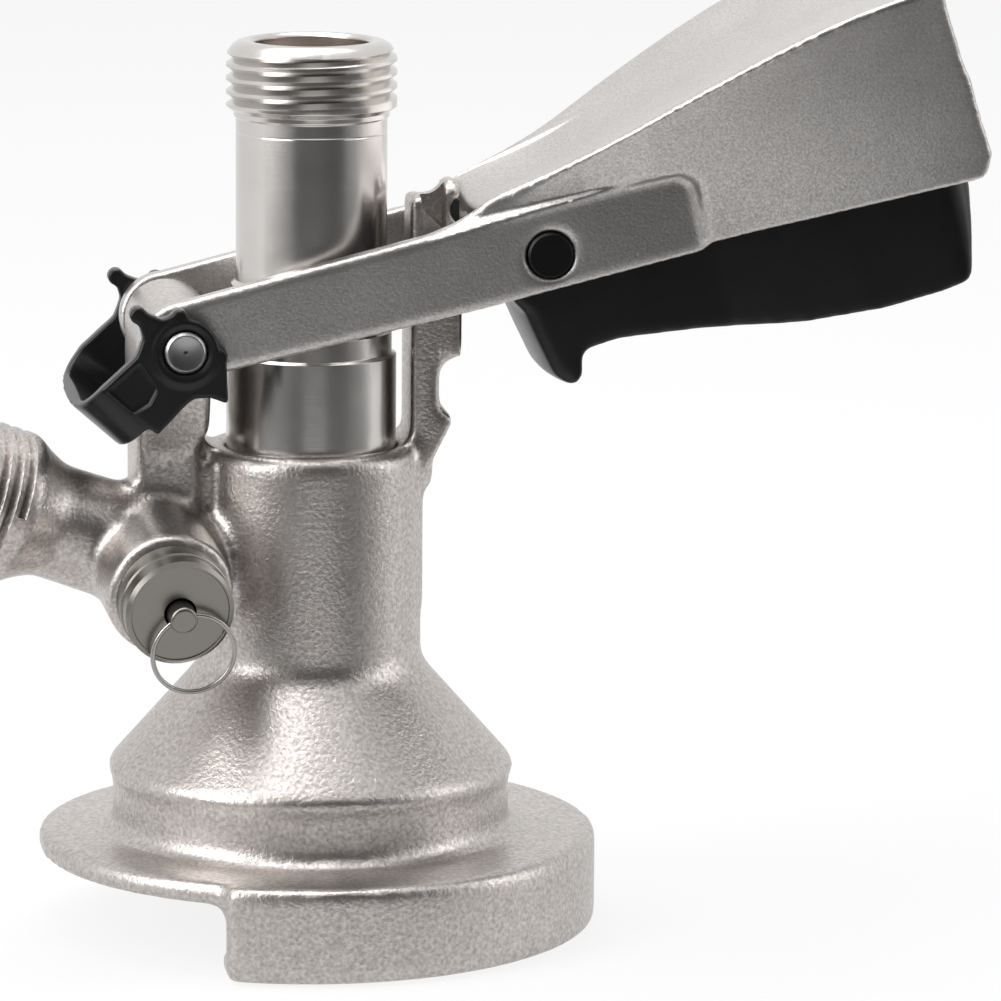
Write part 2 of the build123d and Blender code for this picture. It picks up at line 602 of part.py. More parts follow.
# ---------------------------------------------------------------- lever
def make_lever():
    with BuildPart() as lever:
        # flared hull of the handle
        for u, low, mid, top, v_low, v_mid, v_top in HANDLE:
            with BuildSketch(lever_section(u)):
                with BuildLine():
                    Line((-low, v_low), (low, v_low))
                    Spline((low, v_low), (mid, v_mid), (top, v_top))
                    Line((top, v_top), (-top, v_top))
                    Spline((-top, v_top), (-mid, v_mid), (-low, v_low))
                make_face()
        loft()
        with BuildSketch(lever_plane()) as end:
            with BuildLine():
                Spline(*HANDLE_END)
                Polyline(HANDLE_END[-1], (120, -10), (120, 30), HANDLE_END[0])
            make_face()
        extrude(amount=40, both=True, mode=Mode.SUBTRACT)

        # hollow underneath
        for u, low, mid, top, v_low, v_mid, v_top in HANDLE:
            inner = max(low - WALL, ARM_IN_Y)
            ceiling = v_top - TROUGH - WALL
            with BuildSketch(lever_section(min(u, HANDLE_END[0][0] - WALL))):
                with BuildLine():
                    Polyline((-inner, v_low - 2), (inner, v_low - 2),
                             (max(mid - WALL, ARM_IN_Y), v_mid),
                             (max(mid - WALL, ARM_IN_Y) + 0.5, ceiling),
                             (-max(mid - WALL, ARM_IN_Y) - 0.5, ceiling),
                             (-max(mid - WALL, ARM_IN_Y), v_mid), close=True)
                make_face()
        loft(mode=Mode.SUBTRACT)

        # shallow trough on top
        for u, low, mid, top, v_low, v_mid, v_top in HANDLE:
            with BuildSketch(lever_section(min(u, HANDLE_END[0][0] - 2.4))):
                with BuildLine():
                    Spline((-(top - 2.2), v_top), (0, v_top - TROUGH), (top - 2.2, v_top))
                    Polyline((top - 2.2, v_top), (top - 2.2, v_top + 3),
                             (-(top - 2.2), v_top + 3), (-(top - 2.2), v_top))
                make_face()
        loft(mode=Mode.SUBTRACT)

        # relief in the end wall for the grip
        with BuildSketch(lever_section(HANDLE[-2][0])):
            with Locations((0, 8.6)):
                Rectangle(34, 16, align=(Align.CENTER, Align.MAX))
        extrude(amount=12, mode=Mode.SUBTRACT)

        # flat flanks of the fork, and the fork arms
        flank = ((43, 5.9), (61.5, 5.85), (69.6, 5.5), (71.4, 3.9), (70.8, -8), (43, -8))
        arm = ((0, 6.0), (61.5, 5.85), (69.6, 5.5), (71.4, 3.9), (70.8, -5.75), (40, -5.5),
               (15, -4.85), (0, -4.45))
        for side in (1, -1):
            with BuildSketch(lever_plane(side * ARM_OUT_Y)):
                Polygon(*flank, align=None)
            extrude(amount=-side * 12, mode=Mode.SUBTRACT)
            with BuildSketch(lever_plane(side * ARM_IN_Y)):
                Polygon(*arm, align=None)
                Circle(HUB_R)
            extrude(amount=-side * (ARM_OUT_Y - ARM_IN_Y))

        # clear the fork slot, bore the pins and the blind stud holes
        with BuildSketch(lever_plane()):
            Circle(PIN_R + FIT)
            with Locations((TRIGGER_U, TRIGGER_V)):
                Circle(TRIGGER_PIN_R + FIT)
        extrude(amount=ARM_OUT_Y + 1, both=True, mode=Mode.SUBTRACT)
        with BuildSketch(Plane.XZ):
            with Locations((0, STUD_Z)):
                Circle(STUD_R + 0.02)
        extrude(amount=ARM_IN_Y + STUD_SUNK, both=True, mode=Mode.SUBTRACT)
    save(lever, "lever")

    with BuildPart() as studs:
        for side in (1, -1):
            with BuildSketch(Plane.XZ.offset(side * STUD_INNER_Y)):
                with Locations((0, STUD_Z)):
                    Circle(STUD_R)
            extrude(amount=side * (ARM_IN_Y + STUD_SUNK - FIT - STUD_INNER_Y))
        chamfer(studs.edges().filter_by(GeomType.CIRCLE).group_by(
            lambda e: round(abs(e.center().Y), 2))[0], length=0.3)
    save(studs, "lever_studs")

    with BuildPart() as pin:
        with BuildSketch(Plane.XZ):
            with Locations((PIVOT_X, PIVOT_Z)):
                Circle(PIN_R)
        extrude(amount=PIN_HALF_Y, both=True)
        chamfer(pin.edges().filter_by(GeomType.CIRCLE), length=0.4)
    save(pin, "hinge_pin")


def make_clip():
    hinge = Plane(origin=(PIVOT_X, 0, PIVOT_Z), x_dir=(1, 0, 0), z_dir=(0, -1, 0))
    plate_y = ARM_OUT_Y + CLIP_GAP
    with BuildPart() as clip:
        with BuildSketch(hinge.offset(plate_y)):
            Polygon(*CLIP_OUTLINE, align=None)
            Circle(CLIP_BOSS_R)
            with Locations(*CLIP_BEADS):
                Circle(CLIP_BEAD_R)
            Circle(PIN_R + FIT, mode=Mode.SUBTRACT)
        extrude(amount=CLIP_T)
        mirror(about=Plane.XZ)
        # web bowed away from the hinge between the two plates
        low, high = (hinge.from_local_coords(Vector(*point)) for point in CLIP_WEB)
        along = (high - low).normalized()
        outer, inner = plate_y + CLIP_T, plate_y
        with BuildSketch(Plane(origin=low + along * CLIP_WEB_FROM, x_dir=(0, 1, 0), z_dir=along)):
            with BuildLine():
                Spline((-outer, 0), (2.5 - outer, 3.0), (-8, 5.0), (8, 5.0), (outer - 2.5, 3.0),
                       (outer, 0))
                Line((outer, 0), (inner, 0))
                Spline((inner, 0), (inner - 1.2, 2.0), (7, 3.5), (-7, 3.5), (1.2 - inner, 2.0),
                       (-inner, 0))
                Line((-inner, 0), (-outer, 0))
            make_face()
        extrude(amount=(high - low).length - CLIP_WEB_FROM)
    save(clip, "pin_clip")


# ---------------------------------------------------------------- trigger
def make_trigger():
    grip = (
        (44.3, -6.3), (45.3, -12.0), (46.4, -17.4), (48.5, -19.5), (50.4, -18.2), (51.0, -15.1),
        (57.3, -15.0), (68.0, -16.6), (81.5, -19.3), (92.5, -20.2), (101.0, -19.9),
        (104.9, -19.3), (106.4, -13.5), (107.9, -7.0), (107.6, -5.0), (105.0, -3.5),
        (103.5, 1.0), (62.0, 0.5), (54.3, 0.8), (50.3, 3.4), (46.4, 1.0), (44.6, -3.0),
    )
    hollow = (
        (47.0, 4.5), (47.2, -13.0), (50.0, -12.4), (57.5, -12.3), (68.0, -13.9), (81.5, -16.6),
        (92.5, -17.5), (101.0, -17.2), (103.0, -16.6), (104.6, -8.0), (102.0, 5.0),
    )
    with BuildPart() as trigger:
        with BuildSketch(lever_plane()) as side:
            Polygon(*grip, align=None)
            round_corners(side, {(46.4, -17.4): 1.2, (50.4, -18.2): 0.9, (51.0, -15.1): 1.6,
                                 (104.9, -19.3): 1.5, (48.5, -19.5): 1.0})
        extrude(amount=20, both=True)
        frame = lever_plane()
        with BuildSketch(Plane(origin=frame.origin, x_dir=frame.x_dir, z_dir=frame.y_dir)) as plan:
            end_u, end_y = TRIGGER_END
            Polygon((PAWL_U, -TRIGGER_HALF_Y), (TRIGGER_FLARE_U, -TRIGGER_HALF_Y),
                    (end_u, -end_y), (end_u, end_y), (TRIGGER_FLARE_U, TRIGGER_HALF_Y),
                    (PAWL_U, TRIGGER_HALF_Y), align=None)
            round_corners(plan, {(end_u, -end_y): 5.0, (end_u, end_y): 5.0})
        extrude(amount=30, both=True, mode=Mode.INTERSECT)
        with BuildSketch(lever_plane()):
            Polygon(*hollow, align=None)
            with Locations((TRIGGER_U, TRIGGER_V)):
                Circle(TRIGGER_PIN_R + 1.1)
        extrude(amount=TRIGGER_HALF_Y - TRIGGER_WALL, both=True, mode=Mode.SUBTRACT)
        # pawl that works against the catch post
        with BuildSketch(lever_plane()):
            Polygon((PAWL_U + 0.7, -3.0), (PAWL_U, -5.9), (PAWL_U + 1.0, -6.4), (45.0, -6.4),
                    (45.5, -3.0), align=None)
        extrude(amount=PAWL_HALF_Y, both=True)
        with BuildSketch(lever_plane()):
            with Locations((TRIGGER_U, TRIGGER_V)):
                Circle(TRIGGER_PIN_R + FIT)
        extrude(amount=TRIGGER_HALF_Y, both=True, mode=Mode.SUBTRACT)
    save(trigger, "trigger")

    with BuildPart() as pin:
        with BuildSketch(lever_plane()):
            with Locations((TRIGGER_U, TRIGGER_V)):
                Circle(TRIGGER_PIN_R)
        extrude(amount=ARM_OUT_Y + 0.1, both=True)
        chamfer(pin.edges().filter_by(GeomType.CIRCLE), length=0.3)
    save(pin, "trigger_pin")

    # torsion spring: one leg up to the handle, one down to the floor of the grip
    leg_up, leg_down = SPRING_LEGS
    radius = TRIGGER_PIN_R + 0.1 + SPRING_WIRE_R
    height = SPRING_PITCH * (SPRING_TURNS + (180 + leg_down - leg_up) / 360)
    seat = Pos(TRIGGER_U, TRIGGER_V, -height / 2) * Rot(0, 0, 90 + leg_up)
    coil = lever_plane() * seat * Helix(pitch=SPRING_PITCH, height=height, radius=radius)
    with BuildPart() as spring:
        with BuildSketch(Plane(origin=coil @ 0, z_dir=coil % 0)):
            RegularPolygon(SPRING_WIRE_R, 6)
        sweep(path=coil, is_frenet=True)
        for end, way in ((0, -1), (1, 1)):
            with BuildSketch(Plane(origin=coil @ end, z_dir=(coil % end) * way)):
                Circle(SPRING_WIRE_R)
            extrude(amount=SPRING_LEG)
    save(spring, "trigger_spring")


os.makedirs("parts", exist_ok=True)
make_body()
make_body_rubber()
make_probe()
make_beer_check()
make_gas_check()
make_relief_valve()
make_lever()
make_clip()
make_trigger()
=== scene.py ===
"""Slide-on lever keg coupler: finishes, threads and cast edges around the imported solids.

+Z points up along the probe and +X towards the handle, as in the solids.  Sizes are in
millimetres, and become metres where a mesh or a material takes them; the studio is in metres.
"""
import json
from math import copysign, cos, pi, radians, sin

import bpy
from mathutils import Matrix, Quaternion, Vector

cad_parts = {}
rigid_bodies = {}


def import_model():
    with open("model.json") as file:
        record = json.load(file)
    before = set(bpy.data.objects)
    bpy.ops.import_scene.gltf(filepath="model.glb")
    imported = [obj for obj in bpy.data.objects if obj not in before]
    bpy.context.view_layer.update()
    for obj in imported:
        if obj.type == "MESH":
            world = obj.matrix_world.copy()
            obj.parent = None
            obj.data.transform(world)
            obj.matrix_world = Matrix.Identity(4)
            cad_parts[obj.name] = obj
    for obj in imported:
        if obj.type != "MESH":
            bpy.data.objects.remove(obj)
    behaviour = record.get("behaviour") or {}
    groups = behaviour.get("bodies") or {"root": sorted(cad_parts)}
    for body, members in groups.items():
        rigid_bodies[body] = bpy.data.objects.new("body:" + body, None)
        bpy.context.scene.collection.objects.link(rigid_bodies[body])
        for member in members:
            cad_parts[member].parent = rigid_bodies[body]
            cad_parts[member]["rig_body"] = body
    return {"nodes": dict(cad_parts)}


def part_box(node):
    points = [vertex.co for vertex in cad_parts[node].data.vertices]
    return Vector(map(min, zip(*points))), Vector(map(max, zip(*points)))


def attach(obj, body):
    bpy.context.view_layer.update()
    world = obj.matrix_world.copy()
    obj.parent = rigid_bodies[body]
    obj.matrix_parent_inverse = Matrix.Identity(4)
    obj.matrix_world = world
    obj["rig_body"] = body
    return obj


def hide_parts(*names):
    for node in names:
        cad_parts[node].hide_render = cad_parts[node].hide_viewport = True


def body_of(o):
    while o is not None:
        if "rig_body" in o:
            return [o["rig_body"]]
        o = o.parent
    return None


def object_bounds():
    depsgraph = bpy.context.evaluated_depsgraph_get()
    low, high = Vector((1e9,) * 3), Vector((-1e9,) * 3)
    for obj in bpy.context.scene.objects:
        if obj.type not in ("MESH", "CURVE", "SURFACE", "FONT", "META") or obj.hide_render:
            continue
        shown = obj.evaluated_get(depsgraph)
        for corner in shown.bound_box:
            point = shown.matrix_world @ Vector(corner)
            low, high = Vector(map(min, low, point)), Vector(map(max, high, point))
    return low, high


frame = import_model()
cad_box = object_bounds()
nodes = frame["nodes"]
scene = bpy.context.scene
MM = 0.001                  # metres in a millimetre
MOST_TRIANGLES = 190000     # in one piece

# ---------------------------------------------------------------- sizes
PIPE_PITCH = 25.4 / 14
PIPE_GROOVE_DEPTH = 0.52 * PIPE_PITCH
PIPE_GROOVE_HALF = 0.46 * PIPE_PITCH
THREAD_STEPS = 72           # faces in a turn of thread

INLET_THREAD_R = 20.955 / 2
INLET_THREAD_START = 45.6   # along the inlet, from the probe axis
INLET_THREAD_TURNS = 5.6
INLET_Z = 43.5
INLET_DIR = Vector((-0.9235, -0.163, 0.347)).normalized()
BORE_R = 11.53
BORE_Z = (31, 70)
RIB = ((14.9, -9, 40), (20, 9, 60.3))       # proud of the neck, under the catch post
POST_POCKET = ((14.4, 97.9), (17.7, 94.6), (17.7, 103), (14.4, 103))
POST_POCKET_Y = (1, 9)

OUTLET_THREAD_R = 22.911 / 2
OUTLET_THREAD_START = 111.6
OUTLET_THREAD_TURNS = 4.25
PROBE_STEPS = 160
PROBE_EDGE = 0.12
PROBE_PROFILE = (           # radius and height
    # tip with the groove of its seal, shank
    (4.6, 10.6), (7.6, 10.6), (7.6, 12.2), (7.0, 12.4), (7.0, 14.2), (8.4, 14.2), (8.4, 56.0),
    # piston with two ring grooves
    (11.45, 57.5), (11.45, 59.8), (9.4, 59.8), (9.4, 62.0), (11.45, 62.0), (11.45, 62.4),
    (9.4, 62.4), (9.4, 64.6), (11.45, 64.6), (11.45, 78.0), (10.85, 78.3), (10.85, 81.1),
    # groove of the lever's studs, land, tube with a turned line
    (9.0, 81.1), (9.0, 86.7), (10.85, 86.7), (10.85, 87.6), (10.15, 88.0), (10.15, 107.95),
    (10.04, 108.07), (10.15, 108.2), (10.15, 109.9), (10.45, 110.2), (10.45, 110.8),
    # crests of the outlet thread, round rim
    (OUTLET_THREAD_R, 111.5), (OUTLET_THREAD_R, 118.0), (11.2, 118.9), (10.6, 119.7),
    (9.9, 120.15), (9.0, 120.35), (8.3, 120.3), (7.8, 119.8),
    # outlet bore and the seat of the ball
    (7.8, 98.2), (4.6, 95.0),
)

# places on the lever are u along its arms from the hinge, v above them
HINGE = (-18.7, 81.2)       # X and Z
ARM_TILT = radians(14.5)
ARM_Y = (12.05, 15.45)      # a little inside both faces of an arm
FORK_RAMP = ((35.0, 4.5), (43.8, 4.5), (43.8, 7.9), (42.3, 7.4), (39.0, 6.4), (35.0, 5.9))
WALL_SET_IN = ((35, 1.5), (44, 1.3), (57, 1.2), (66, 0.0))      # u, how far
WALL_FOOT = (5.5, 0.9)      # v where the set-in starts, and its rise
WALL_Y = (13, 1.5)          # Y where the set-in starts, and its depth
HANDLE_END = ((-5.0, -0.4), (-3.6, 0.27), (-1.8, 0.68), (0.3, 0.0), (2.9, -0.55),
              (5.7, -0.55), (9.3, 0.14), (14.3, 0.27), (19.7, -0.27))   # v, how far along
HANDLE_END_U = (102, 5)     # u where the end starts to move, and over what length

NOSE_U = (56, 8)            # u where the trigger's nose ends, and over what length
NOSE_V = (-6.2, 2)          # v under which it starts, and over what height
NOSE_SWEEP = 1.3            # how far its sides sweep back
TRIGGER_HALF_Y = 11.5

CLIP_FACE_Y = 18.5
CLIP_COLLAR = (3.95, 0.6, 0.25)     # radius, radius of its bead, how deep its middle sits
CLIP_SUNK = ((-10.9, -5.0), (-6.0, -0.7), (-3.4, -4.7), (-4.6, -7.0), (-7.0, -8.4))
CLIP_SUNK_DEPTH = 0.55

PIN_EDGE = 0.35
PIN_DISH = (9, 0.28)        # radius and depth of the dish in each end
PIN_CENTRE = (0.5, 0.02, 0.7)       # centre mark: radius, radius at its tip, depth


# ---------------------------------------------------------------- editing
def only(piece):
    """Select one piece and nothing else."""
    bpy.ops.object.select_all(action="DESELECT")
    piece.select_set(True)
    bpy.context.view_layer.objects.active = piece


def edit(piece, mode="VERT"):
    """Open a piece in edit mode with all of it selected."""
    only(piece)
    bpy.ops.object.mode_set(mode="EDIT")
    bpy.ops.mesh.select_mode(type=mode)
    bpy.ops.mesh.select_all(action="SELECT")


def done(outwards=False):
    """Leave edit mode, after turning the faces of a new shape outwards."""
    if outwards:
        bpy.ops.mesh.select_all(action="SELECT")
        bpy.ops.mesh.normals_make_consistent(inside=False)
    bpy.ops.object.mode_set(mode="OBJECT")


def copy_of(node, name):
    """A merged copy of a solid, to be reworked in its place."""
    piece = bpy.data.objects.new(name, nodes[node].data.copy())
    piece.data.materials.clear()
    scene.collection.objects.link(piece)
    edit(piece)
    bpy.ops.mesh.customdata_custom_splitnormals_clear()
    bpy.ops.mesh.remove_doubles(threshold=0.002 * MM)
    done()
    return piece


def modify(piece, kind, **settings):
    """Add a modifier, set it and apply it."""
    only(piece)
    modifier = piece.modifiers.new(kind.lower(), kind)
    for key, value in settings.items():
        setattr(modifier, key, value)
    bpy.ops.object.modifier_apply(modifier=modifier.name)


def relax(piece, rounds):
    """Let every vertex settle between its neighbours."""
    modify(piece, "SMOOTH", factor=0.5, iterations=rounds)


def soften(piece, width, angle, segments):
    """Round every edge that is sharper than the angle."""
    modify(piece, "BEVEL", width=width * MM, segments=segments, limit_method="ANGLE",
           angle_limit=radians(angle), use_clamp_overlap=True)


def cast(piece, grid, fillet, rounds):
    """Fill inner corners with fillets and round the edges, as a mould leaves them."""
    modify(piece, "REMESH", mode="VOXEL", voxel_size=grid * MM)
    for step in (fillet, -fillet):
        modify(piece, "DISPLACE", strength=step * MM, mid_level=0)
        modify(piece, "REMESH", mode="VOXEL", voxel_size=grid * MM)
    relax(piece, rounds)
    triangles = 2 * len(piece.data.polygons)
    if triangles > MOST_TRIANGLES:
        modify(piece, "DECIMATE", ratio=MOST_TRIANGLES / triangles)


def join(piece, other):
    """Take another piece into a piece."""
    only(piece)
    other.select_set(True)
    bpy.ops.object.join()


def cut(piece, cutter, solver="MANIFOLD"):
    """Cut a piece with another, which is used up."""
    modify(piece, "BOOLEAN", object=cutter, operation="DIFFERENCE", solver=solver)
    bpy.data.objects.remove(cutter)


# ---------------------------------------------------------------- plain shapes
def settled():
    """The shape just made, with its place, turn and size in its mesh."""
    bpy.ops.object.transform_apply(location=True, rotation=True, scale=True)
    return bpy.context.object


def box(low, high):
    """A block between two corners."""
    bpy.ops.object.select_all(action="DESELECT")
    low, high = Vector(low) * MM, Vector(high) * MM
    bpy.ops.mesh.primitive_cube_add(size=1, location=(low + high) / 2, scale=high - low)
    return settled()


def rod(start, end, radius, tip, sides):
    """A rod between two points, whose far end may be thinner."""
    bpy.ops.object.select_all(action="DESELECT")
    start, end = Vector(start) * MM, Vector(end) * MM
    turn = (end - start).to_track_quat("Z", "Y").to_euler()
    bpy.ops.mesh.primitive_cone_add(vertices=sides, radius1=radius * MM, radius2=tip * MM,
                                    depth=(end - start).length, location=(start + end) / 2,
                                    rotation=turn)
    return settled()


def outline(corners, y=0, fill="NGON"):
    """A flat shape from corners in X and Z."""
    bpy.ops.object.select_all(action="DESELECT")
    bpy.ops.mesh.primitive_circle_add(vertices=len(corners), fill_type=fill)
    shape = bpy.context.object
    for vertex, (x, z) in zip(shape.data.vertices, corners):
        vertex.co = Vector((x, y, z)) * MM
    return shape


def prism(corners, low_y, high_y):
    """A block with an outline in X and Z, between two widths."""
    block = outline(corners, low_y)
    edit(block, "FACE")
    bpy.ops.mesh.extrude_region_move(
        TRANSFORM_OT_translate={"value": (0, (high_y - low_y) * MM, 0)})
    done(outwards=True)
    return block


def lathe(name, profile, steps):
    """A turned piece about the probe axis, from an outline of radius and height."""
    piece = outline(profile, fill="NOTHING")
    piece.name = name
    modify(piece, "SCREW", angle=2 * pi, screw_offset=0, steps=steps, render_steps=steps,
           use_merge_vertices=True, merge_threshold=0.001 * MM)
    edit(piece)
    done(outwards=True)
    return piece


def thread_cutter(radius, start, turns):
    """A V-groove winding up +Z from a height, for pipe thread."""
    root, clear = radius - PIPE_GROOVE_DEPTH, radius + PIPE_GROOVE_DEPTH / 4
    cutter = outline(((root, start), (clear, start - PIPE_GROOVE_HALF),
                      (clear, start + PIPE_GROOVE_HALF)))
    steps = int(THREAD_STEPS * turns)
    modify(cutter, "SCREW", angle=2 * pi * turns, screw_offset=PIPE_PITCH * turns * MM,
           steps=steps, render_steps=steps, use_merge_vertices=False)
    edit(cutter)
    bpy.ops.mesh.remove_doubles(threshold=0.001 * MM)
    bpy.ops.mesh.fill_holes(sides=3)
    done(outwards=True)
    return cutter


# ---------------------------------------------------------------- places
def both_sides(near, far):
    """A span of Y on either side of the middle, each from low to high."""
    return (-far, -near), (near, far)


def from_hinge(x, z):
    """X and Z of a place given from the hinge."""
    return HINGE[0] + x, HINGE[1] + z


def on_arm(u, v):
    """X and Z of a place on the lever."""
    return from_hinge(u * cos(ARM_TILT) - v * sin(ARM_TILT),
                      u * sin(ARM_TILT) + v * cos(ARM_TILT))


def along_arm(place):
    """The u and v of a vertex on the lever."""
    x, z = place.x / MM - HINGE[0], place.z / MM - HINGE[1]
    return x * cos(ARM_TILT) + z * sin(ARM_TILT), z * cos(ARM_TILT) - x * sin(ARM_TILT)


def rise(value, start, length):
    """From 0 at the start straight to 1 after the length."""
    return min(1, max(0, (value - start) / length))


def smooth_rise(value, start, length):
    """The same without a kink at either end."""
    t = rise(value, start, length)
    return t * t * (3 - 2 * t)


def between(value, table):
    """Straight interpolation in a table of rising pairs."""
    for (a, low), (b, high) in zip(table, table[1:]):
        if value <= b:
            return low + (high - low) * max(0, value - a) / (b - a)
    return table[-1][1]


# ---------------------------------------------------------------- nodes
class Signal:
    """A node socket that takes part in arithmetic; each operator adds a Math node."""

    def __init__(self, net, socket):
        self.net, self.socket = net, socket

    def math(self, operation, *values):
        return self.net.node("Math", {"operation": operation}, dict(enumerate(values)))

    def __add__(self, other):
        return self.math("ADD", self, other)

    def __sub__(self, other):
        return self.math("SUBTRACT", self, other)

    def __rsub__(self, other):
        return self.math("SUBTRACT", other, self)

    def __mul__(self, other):
        return self.math("MULTIPLY", self, other)

    __radd__ = __add__
    __rmul__ = __mul__

    def root(self):
        return self.math("SQRT", self)

    def either(self, other):
        """The larger of two."""
        return self.math("MAXIMUM", self, other)

    def clip(self, low, high):
        """0 below low, 1 above high."""
        return self.net.node("MapRange", {"clamp": True},
                             {"Value": self, "From Min": low, "From Max": high})


class Net:
    """A tree of nodes, all of which come from one method."""

    def __init__(self, tree):
        self.tree = tree

    def node(self, kind, settings=None, inputs=None, output=0):
        made = self.tree.nodes.new("ShaderNode" + kind)
        for key, value in (settings or {}).items():
            setattr(made, key, value)
        for key, value in (inputs or {}).items():
            self.feed(made.inputs[key], value)
        return Signal(self, made.outputs[output])

    def feed(self, socket, value):
        if isinstance(value, Signal):
            self.tree.links.new(value.socket, socket)
        else:
            socket.default_value = value

    def ray(self, kind):
        """1 on rays of a kind, such as Is Camera Ray."""
        return self.node("LightPath", output=kind)


class Finish(Net):
    """A procedural material, read in object coordinates."""

    def __init__(self, name, **constants):
        self.material = bpy.data.materials.new(name)
        self.material.use_nodes = True
        super().__init__(self.material.node_tree)
        self.surface = self.tree.nodes["Principled BSDF"]
        self.place = self.node("TexCoord", output="Object")
        self.vary(**constants)

    def vary(self, **values):
        """Set or drive sockets of the surface, such as Base_Color or Roughness."""
        for key, value in values.items():
            self.feed(self.surface.inputs[key.replace("_", " ")], value)
        return self.material

    def noise(self, size, detail, roughness):
        """Noise from 0 to 1 whose lumps measure about the size."""
        return self.node("TexNoise", None, {"Vector": self.place, "Scale": 1 / (size * MM),
                                            "Detail": detail, "Roughness": roughness})

    def mix(self, factor, first, second):
        """From the first to the second; a colour is three numbers or a signal."""
        first, second = (colour if isinstance(colour, Signal) else (*colour, 1)
                         for colour in (first, second))
        return self.node("Mix", {"data_type": "RGBA"}, {0: factor, 6: first, 7: second}, output=2)

    def bump(self, height, depth):
        return self.node("Bump", None,
                         {"Height": height, "Distance": depth * MM, "Strength": 1.0})

    def apart(self):
        """X, Y and Z of the place."""
        split = self.node("SeparateXYZ", None, {0: self.place})
        return [Signal(self, socket) for socket in split.socket.node.outputs]


# ---------------------------------------------------------------- finishes
def cast_steel(name, grain, depth, light, dark, roughness):
    """Tumbled casting: orange peel over fine blasted grain, with a few pits."""
    finish = Finish(name, Metallic=1.0)
    peel = finish.noise(grain, 2.0, 0.55).clip(0.30, 0.72)
    blasted = finish.noise(grain * 0.35, 2.0, 0.6)
    cloud = finish.noise(9, 3.0, 0.6)
    pits = finish.noise(1.7, 1.0, 0.4).clip(0.74, 0.80)
    return finish.vary(
        Base_Color=finish.mix(peel * 0.75 + cloud * 0.25, dark, light),
        Roughness=cloud * 0.10 + peel * -0.10 + roughness,
        Normal=finish.bump(peel + blasted * 0.35 - pits * 1.2, depth),
    )


def turned_steel(name, light, dark, roughness, axis=2, bore_colour=None):
    """Turned and polished: fine rings square to the axis, and, where a colour for the bore is
    given, that colour (dark brown) on the outlet bore's wall above 104 to 106 mm.
    """
    finish = Finish(name, Metallic=1.0)
    place = finish.apart()
    rings = finish.node("TexNoise", {"noise_dimensions": "1D"},
                        {"W": place[axis], "Scale": 1 / (0.16 * MM), "Detail": 3.0,
                         "Roughness": 0.7})
    smear = finish.noise(5, 3.0, 0.6)
    colour = finish.mix(rings * 0.5 + smear * 0.5, dark, light)
    # the given colour, here dark brown, on the wall of the outlet bore above 104 to 106 mm
    if bore_colour:
        x, y, z = place
        from_axis = (x * x + y * y).root()
        in_bore = (1 - from_axis.clip(7.7 * MM, 7.95 * MM)) * z.clip(104 * MM, 106 * MM)
        colour = finish.mix(in_bore, colour, bore_colour)
    return finish.vary(
        Base_Color=colour,
        Roughness=smear * 0.08 + rings * 0.06 + roughness,
        Normal=finish.bump(rings, 0.004),
    )


def moulded(name, colour, roughness, grain=0.25, depth=0.006):
    """Moulded plastic or rubber with a fine spark-eroded grain."""
    finish = Finish(name, Specular_IOR_Level=0.3)
    sparks = finish.noise(grain, 2.0, 0.6)
    cloud = finish.noise(7, 3.0, 0.6)
    lighter = [min(1.0, part * 1.5 + 0.004) for part in colour]
    return finish.vary(
        Base_Color=finish.mix(cloud * 0.6 + sparks * 0.2, colour, lighter),
        Roughness=cloud * 0.12 + sparks * 0.08 + roughness,
        Normal=finish.bump(sparks, depth),
    )


body_steel = cast_steel("tumbled_cast_steel", 0.55, 0.030,
                        (0.63, 0.593, 0.567), (0.33, 0.305, 0.29), 0.36)
lever_steel = cast_steel("blasted_cast_steel", 0.34, 0.015,
                         (0.63, 0.608, 0.592), (0.36, 0.344, 0.333), 0.38)
probe_steel = turned_steel("turned_steel", (0.66, 0.64, 0.62), (0.52, 0.50, 0.48), 0.16,
                           bore_colour=(0.15, 0.07, 0.03))
valve_metal = turned_steel("machined_plated_metal", (0.25, 0.237, 0.216), (0.20, 0.19, 0.17),
                           0.26, axis=1)
pin_steel = turned_steel("dark_turned_steel", (0.40, 0.40, 0.40), (0.28, 0.28, 0.28), 0.22,
                         axis=1)
blackened = turned_steel("blackened_steel", (0.030, 0.030, 0.032), (0.018, 0.018, 0.019), 0.34)
wire_steel = turned_steel("drawn_wire", (0.42, 0.41, 0.40), (0.30, 0.29, 0.28), 0.25)
black_plastic = moulded("black_plastic", (0.0045, 0.0045, 0.005), 0.22)
black_rubber = moulded("black_rubber", (0.012, 0.012, 0.012), 0.5, grain=0.2, depth=0.008)
white_plastic = moulded("white_plastic", (0.72, 0.72, 0.69), 0.4)


def dress(piece, finish):
    piece.data.materials.clear()
    piece.data.materials.append(finish)


# ---------------------------------------------------------------- pieces
def body_casting():
    """The casting, with its bore, the pockets in the post's head and the inlet thread."""
    body = copy_of("coupler_body", "body_casting")
    cut(body, box(*RIB))
    cast(body, grid=0.63, fillet=1.0, rounds=4)
    cut(body, rod((0, 0, BORE_Z[0]), (0, 0, BORE_Z[1]), BORE_R, BORE_R, sides=160))
    for span in both_sides(*POST_POCKET_Y):
        cut(body, prism(POST_POCKET, *span))
    relax(body, 1)
    groove = thread_cutter(INLET_THREAD_R, INLET_THREAD_START, INLET_THREAD_TURNS)
    groove.data.transform(Matrix.Translation((0, 0, INLET_Z * MM))
                          @ INLET_DIR.to_track_quat("Z", "Y").to_matrix().to_4x4())
    cut(body, groove)
    return body


def probe_tube():
    """The turned probe with its outlet thread."""
    probe = lathe("probe_tube", PROBE_PROFILE, PROBE_STEPS)
    soften(probe, PROBE_EDGE, 24, 2)
    cut(probe, thread_cutter(OUTLET_THREAD_R, OUTLET_THREAD_START, OUTLET_THREAD_TURNS),
        solver="EXACT")
    return probe


